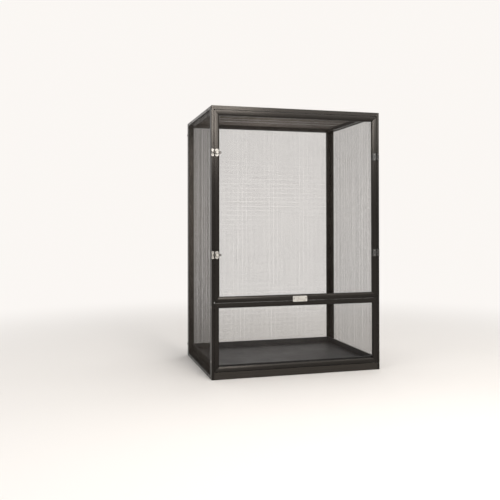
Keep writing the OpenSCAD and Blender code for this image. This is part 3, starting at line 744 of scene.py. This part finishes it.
def screw_tree():
    """One screw at each point, turned to the point's axis, with its recess at an angle of its own."""
    tree = geometry_tree("cross_screws", {
        "Points": "NodeSocketGeometry",
        "Screw": "NodeSocketObject",
        "Material": "NodeSocketMaterial",
    })
    nodes = Nodes(tree)
    sockets = nodes.node("NodeGroupInput").outputs
    screw = nodes.node("GeometryNodeObjectInfo", {"Object": sockets["Screw"]}).outputs["Geometry"]
    axis = nodes.first("GeometryNodeInputNamedAttribute", {"Name": "axis"}, data_type="FLOAT_VECTOR")
    facing = nodes.first("FunctionNodeAlignRotationToVector", {"Vector": axis}, axis="Z")
    # Random Value has sockets of the same name for each kind of data, so those for numbers go by number
    inputs = {2: 0.0, 3: math.pi / 2, "Seed": SPIN_SEED}
    angle = nodes.node("FunctionNodeRandomValue", inputs, data_type="FLOAT").outputs[1]
    spin = nodes.first("FunctionNodeAxisAngleToRotation", {"Axis": (0, 0, 1), "Angle": angle})
    inputs = {"Rotation": facing, "Rotate By": spin}
    turned = nodes.first("FunctionNodeRotateRotation", inputs, rotation_space="LOCAL")
    inputs = {"Points": sockets["Points"], "Instance": screw, "Rotation": turned}
    screws = nodes.first("GeometryNodeInstanceOnPoints", inputs)
    whole = nodes.first("GeometryNodeRealizeInstances", {"Geometry": screws})
    inputs = {"Geometry": whole, "Material": sockets["Material"]}
    painted = nodes.first("GeometryNodeSetMaterial", inputs)
    nodes.node("NodeGroupOutput", {"Geometry": painted})
    return tree


def turned_mesh(name, profile, sides):
    """A shape turned about Z from points given as radius and height, from the foot to the top."""
    mesh_bm = bmesh.new()
    angles = [2 * math.pi * step / sides for step in range(sides)]
    rings = []
    for radius, height in profile:
        if radius == 0.0:
            ring = [(0.0, 0.0, height)]
        else:
            ring = [(radius * math.cos(angle), radius * math.sin(angle), height) for angle in angles]
        rings.append([mesh_bm.verts.new(point) for point in ring])
    for low, high in zip(rings, rings[1:]):
        for step in range(sides):
            after = (step + 1) % sides
            if len(low) == 1:
                mesh_bm.faces.new((low[0], high[after], high[step]))
            elif len(high) == 1:
                mesh_bm.faces.new((low[step], low[after], high[0]))
            else:
                mesh_bm.faces.new((low[step], low[after], high[after], high[step]))
    bmesh.ops.recalc_face_normals(mesh_bm, faces=mesh_bm.faces)
    return finished_mesh(mesh_bm, name)


def cross_mesh(name, sizes):
    """The tapered cross that cuts the recess of a screw, with the top of the head at the origin."""
    mesh_bm = bmesh.new()
    for crossed in (False, True):
        for vert in bmesh.ops.create_cube(mesh_bm, size=1.0)["verts"]:
            high = vert.co.z > 0
            out = vert.co.x * 2 * sizes["reach"] * (1.0 if high else FOOT_REACH)
            across = vert.co.y * sizes["slot"] * (TOP_WIDTH if high else FOOT_WIDTH)
            height = sizes["depth"] * CUTTER_ABOVE if high else -sizes["depth"]
            vert.co = (across, out, height) if crossed else (out, across, height)
    bmesh.ops.recalc_face_normals(mesh_bm, faces=mesh_bm.faces)
    return finished_mesh(mesh_bm, name)


def shank(sizes):
    """Profile of a screw's blunt tip and its shank, up to the head."""
    radius, foot = sizes["shank"] / 2, -sizes["length"]
    end = (TIP_WIDTH * radius, foot + TIP_RISE * radius)
    return [(0.0, foot), end, (radius, foot + TIP_LENGTH * radius), (radius, -sizes["rise"])]


def dome(sizes):
    """Profile of a domed head: a quarter of an ellipse with full shoulders."""
    radius, rise = sizes["head"] / 2, sizes["rise"]
    turns = [math.pi / 2 * step / DOME_STEPS for step in range(DOME_STEPS)]
    shares = [(math.cos(turn) ** DOME_SHOULDER, math.sin(turn) ** DOME_SHOULDER) for turn in turns]
    return [*((radius * out, rise * up - rise) for out, up in shares), (0.0, 0.0)]


def flat_head(sizes):
    """Profile of a sunk head: the top of its cone, with a fine rim."""
    radius = sizes["head"] / 2
    return [(radius, -SUNK_RIM), (radius - SUNK_RIM, 0.0), (0.0, 0.0)]


def screw_object(name, sizes, head):
    """A screw with a cross recess in its head, the top of its head at the origin."""
    body = linked(name, turned_mesh(name, [*shank(sizes), *head(sizes)], SCREW_SIDES))
    cross = linked(name + "_cross", cross_mesh(name + "_cross", sizes))
    cut = body.modifiers.new("Cross recess", "BOOLEAN")
    cut.operation = "DIFFERENCE"
    cut.solver = "EXACT"
    cut.use_self = True
    cut.object = cross
    mesh = plain_mesh(body)
    bpy.data.meshes.remove(cross.data)
    return linked(name, mesh)


def screw_points(node, axis):
    """Points at the tops of a node's screws. With no axis each screw faces out along X."""
    places, axes = [], []
    for low, high in solid_boxes(node):
        middle = (low + high) / 2
        out = Vector(axis) if axis else Vector((math.copysign(1, middle.x), 0, 0))
        places.append(middle + abs((high - middle).dot(out)) * out)
        axes.append(out)
    mesh = bpy.data.meshes.new(node + "_points")
    mesh.from_pydata(places, [], [])
    layer = mesh.attributes.new("axis", "FLOAT_VECTOR", "POINT")
    layer.data.foreach_set("vector", [value for out in axes for value in out])
    return mesh


class CAGE_OT_frame(bpy.types.Operator):
    """Round the posts and bars and give them the anodised finish"""

    bl_idname = "cage.frame"
    bl_label = "Posts and bars"

    def execute(self, context):
        settings = context.scene.cage_frame
        material = anodised_frame(settings)
        for node in (*POSTS, *(panel + "_bars" for panel in PANELS)):
            # Only the base's bars get a painted reflection, which makes them lighter
            reflection_lightness = settings.base_painted_reflection if node == "base_bars" else 1.0
            round_node(node, settings.edge_round, material, reflection_lightness)
        return {"FINISHED"}


class CAGE_OT_screens(bpy.types.Operator):
    """Weave the fine screens in place of the coarse nets"""

    bl_idname = "cage.screens"
    bl_label = "Screens"

    def execute(self, context):
        settings = context.scene.cage_screen
        material = woven_wire(settings)
        tree = screen_tree()
        for number, (node, (out, up)) in enumerate(SCREENS.items()):
            width_drift, height_drift = UNEVEN.get(node, EVEN)
            low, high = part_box(node)
            size = high - low
            out, up = Vector(out), Vector(up)
            right = up.cross(out)
            mesh = grown(tree, bpy.data.meshes.new(node + "_work"), {
                "Width": abs(size.dot(right)),
                "Height": abs(size.dot(up)),
                "Pitch": settings.pitch,
                "Wire Width": settings.wire,
                "Wire Depth": settings.depth,
                "Width Drift": settings.drift * width_drift,
                "Height Drift": settings.drift * height_drift,
                "Phase": PHASE_STEP * number,
                "Sides": settings.sides,
                "Material": material,
            })
            turn = Matrix((right, up, out)).transposed().to_4x4()
            # The two layers of wire lie on the lip that the coarse net lies on
            seat = (low + high) / 2 + (settings.depth - abs(size.dot(out)) / 2) * out
            mesh.transform(Matrix.Translation(seat) @ turn)
            piece(node.replace("_screen", "_mesh"), mesh, material, node)
        return {"FINISHED"}


class CAGE_OT_cords(bpy.types.Operator):
    """Give the cords that hold the screens and the keys in the corners their finishes"""

    bl_idname = "cage.cords"
    bl_label = "Cords and keys"

    def execute(self, context):
        settings = context.scene.cage_tray
        rubber, nylon = ribbed_rubber(settings), moulded_nylon(settings)
        for panel in PANELS:
            paint(("floor" if panel == "base" else panel) + "_spline", rubber)
            paint(panel + "_keys", nylon)
        return {"FINISHED"}


class CAGE_OT_hinges(bpy.types.Operator):
    """Round the hinge leaves and pins and coat them black"""

    bl_idname = "cage.hinges"
    bl_label = "Hinges"

    def execute(self, context):
        settings = context.scene.cage_hardware
        material = coated_hinge(settings)
        for hinge in HINGES:
            for part in ("_post_leaf", "_door_leaf", "_pin"):
                round_node(hinge + part, settings.edge_round, material)
        return {"FINISHED"}


class CAGE_OT_latches(bpy.types.Operator):
    """Round the latches, the lock, the flap's pivots and its catches, and plate them"""

    bl_idname = "cage.latches"
    bl_label = "Latches and lock"

    def execute(self, context):
        settings = context.scene.cage_hardware
        nickel = plated_metal("nickel_plate", settings.silver)
        steel = plated_metal("lever_steel", settings.steel)
        for latch in LATCHES:
            for part in ("_keeper", "_plate", "_stud"):
                round_node(latch + part, settings.edge_round, nickel)
            # The lever's dark steel is partly its own colour and partly painted shade in the latch's waist
            round_node(latch + "_lever", settings.edge_round, steel)
        for node in (*LOCK, *FLAP_FITTINGS):
            round_node(node, settings.edge_round, nickel)
        return {"FINISHED"}


class CAGE_OT_screws(bpy.types.Operator):
    """Set cross-recess screws in the walls, hinges, latches and lock"""

    bl_idname = "cage.screws"
    bl_label = "Screws"

    def execute(self, context):
        settings = context.scene.cage_hardware
        material = plated_screw(settings)
        tree = screw_tree()
        pan = screw_object("pan_screw", PAN_SCREW, dome)
        sunk = screw_object("sunk_screw", SUNK_SCREW, flat_head)
        for node, model, axis in (
            ("panel_screws", pan, None), *((front, sunk, FRONT) for front in FRONT_SCREWS),
        ):
            mesh = grown(tree, screw_points(node, axis), {"Screw": model, "Material": material})
            piece(node.replace("_screws", "_cross_screws"), mesh, material, node)
        for model in (pan, sunk):
            bpy.data.meshes.remove(model.data)
        return {"FINISHED"}


class CAGE_OT_tray(bpy.types.Operator):
    """Round the substrate tray and give it the formed plastic"""

    bl_idname = "cage.tray"
    bl_label = "Tray"

    def execute(self, context):
        settings = context.scene.cage_tray
        round_node("substrate_tray", settings.edge_round, formed_plastic(settings))
        return {"FINISHED"}


def seen_directly(nodes):
    """1 for rays that show the backdrop as it is: from the camera, off gloss or through glass."""
    path = nodes.node("ShaderNodeLightPath").outputs
    seen = path["Is Camera Ray"]
    for name in ("Is Glossy Ray", "Is Transmission Ray"):
        seen = nodes.maths("MAXIMUM", seen, path[name])
    return seen


def floor_paper(settings):
    """A pale floor with a faint tooth, which fades into the backdrop far from the cage."""
    finish = Finish("floor_paper")
    place = finish.coordinates()
    tooth = finish.noise(place, scale=260.0, detail=3.0, roughness=0.6)
    cloud = finish.noise(place, scale=1.3, detail=2.0, roughness=0.5)
    finish.set(
        Base_Color=finish.blend(cloud, shade(settings.floor, 0.985), shade(settings.floor, 1.015)),
        Roughness=0.85,
        Specular_IOR_Level=0.15,
        Normal=finish.bump(tooth, strength=0.05, distance=0.0004),
    )
    away = finish.node("ShaderNodeVectorMath", {0: place}, operation="LENGTH").outputs["Value"]
    inputs = {
        "Value": away,
        "From Min": settings.fade_start,
        "From Max": settings.fade_end,
        "To Max": settings.fade,
    }
    fade = finish.first("ShaderNodeMapRange", inputs, interpolation_type="SMOOTHSTEP")
    glow = finish.first("ShaderNodeEmission", {"Color": settings.backdrop, "Strength": 1.0})
    factor = finish.maths("MULTIPLY", fade, seen_directly(finish))
    mixed = finish.first("ShaderNodeMixShader", {0: factor, 1: finish.shader.outputs[0], 2: glow})
    finish.feed(finish.nodes["Material Output"].inputs["Surface"], mixed)
    return finish.material


def lay_floor(settings):
    """The round floor, and the backdrop that curves up from its edge and casts no shadow."""
    paper = floor_paper(settings)
    turns = [math.pi / 2 * step / SWEEP_STEPS for step in range(SWEEP_STEPS + 1)]
    sweep = [
        (FLOOR_RADIUS + SWEEP_RADIUS * math.sin(turn), SWEEP_RADIUS - SWEEP_RADIUS * math.cos(turn))
        for turn in turns
    ]
    top = (FLOOR_RADIUS + SWEEP_RADIUS, BACKDROP_TOP)
    for name, profile in (("floor", [(0.0, 0.0), sweep[0]]), ("backdrop", [*sweep, top])):
        mesh = turned_mesh(name, profile, STAGE_SIDES)
        mesh.shade_smooth()
        mesh.materials.append(paper)
        sheet = linked(name, mesh)
        if name == "backdrop":
            sheet.visible_diffuse = sheet.visible_shadow = False


def studio_world(settings):
    """Even light from all sides, and the backdrop's colour where it is seen."""
    world = bpy.data.worlds.new("studio")
    world.use_nodes = True
    nodes = Nodes(world.node_tree)
    light = nodes.nodes["Background"]
    nodes.feed(light.inputs["Color"], settings.fill)
    nodes.feed(light.inputs["Strength"], settings.fill_strength)
    show = nodes.first("ShaderNodeBackground", {"Color": settings.backdrop})
    mixed = nodes.first("ShaderNodeMixShader", {0: seen_directly(nodes), 1: light.outputs[0], 2: show})
    nodes.feed(nodes.nodes["World Output"].inputs["Surface"], mixed)
    return world


def soft_lamp(name, place, aim, size, watts, tint):
    """A soft box at a place, facing a point."""
    data = bpy.data.lights.new(name, "AREA")
    data.shape = "RECTANGLE"
    data.size, data.size_y = size
    data.energy = watts
    data.color = tint
    lamp = linked(name, data)
    lamp.location = place
    lamp.rotation_euler = (Vector(aim) - Vector(place)).to_track_quat("-Z", "Y").to_euler()


def photo_camera(settings):
    """A camera at the photograph's viewing angle."""
    data = bpy.data.cameras.new("photo_camera")
    data.sensor_width = SENSOR_WIDTH
    data.lens = settings.lens
    data.shift_x, data.shift_y = settings.shift_x, settings.shift_y
    camera = linked("photo_camera", data)
    right, up = Vector(settings.right), Vector(settings.up)
    turn = Matrix((right, up, right.cross(up))).transposed()
    camera.matrix_world = Matrix.Translation(settings.place) @ turn.to_4x4()
    return camera


class CAGE_OT_stage(bpy.types.Operator):
    """Lay the pale floor and set the backdrop, the lamps and the camera"""

    bl_idname = "cage.stage"
    bl_label = "Stage"

    def execute(self, context):
        scene = context.scene
        settings = scene.cage_stage
        lay_floor(settings)
        scene.world = studio_world(settings)
        for name, lamp in LAMPS.items():
            soft_lamp(name, *lamp)
        scene.camera = photo_camera(settings)
        scene.view_settings.view_transform = "Standard"
        return {"FINISHED"}


OPERATORS = (
    CAGE_OT_frame,
    CAGE_OT_screens,
    CAGE_OT_cords,
    CAGE_OT_hinges,
    CAGE_OT_latches,
    CAGE_OT_screws,
    CAGE_OT_tray,
    CAGE_OT_stage,
)


class CAGE_PT_panel(bpy.types.Panel):
    """Sizes, colours and steps of the cage"""

    bl_label = "Mesh reptile cage"
    bl_idname = "CAGE_PT_panel"
    bl_space_type = "VIEW_3D"
    bl_region_type = "UI"
    bl_category = "Cage"

    def draw(self, context):
        layout = self.layout
        for attribute, group in SETTINGS.items():
            box = layout.box()
            box.label(text=group.__doc__)
            for name in group.__annotations__:
                box.prop(getattr(context.scene, attribute), name)
        for operator in OPERATORS:
            layout.operator(operator.bl_idname)


CLASSES = (*SETTINGS.values(), *OPERATORS, CAGE_PT_panel)


def register():
    for cls in CLASSES:
        bpy.utils.register_class(cls)
    for attribute, group in SETTINGS.items():
        setattr(bpy.types.Scene, attribute, PointerProperty(type=group))


def unregister():
    for attribute in SETTINGS:
        delattr(bpy.types.Scene, attribute)
    for cls in reversed(CLASSES):
        bpy.utils.unregister_class(cls)


def main():
    register()
    bpy.ops.cage.frame()
    bpy.ops.cage.screens()
    bpy.ops.cage.cords()
    bpy.ops.cage.hinges()
    bpy.ops.cage.latches()
    bpy.ops.cage.screws()
    bpy.ops.cage.tray()
    bpy.ops.cage.stage()


if __name__ == "__main__":
    main()
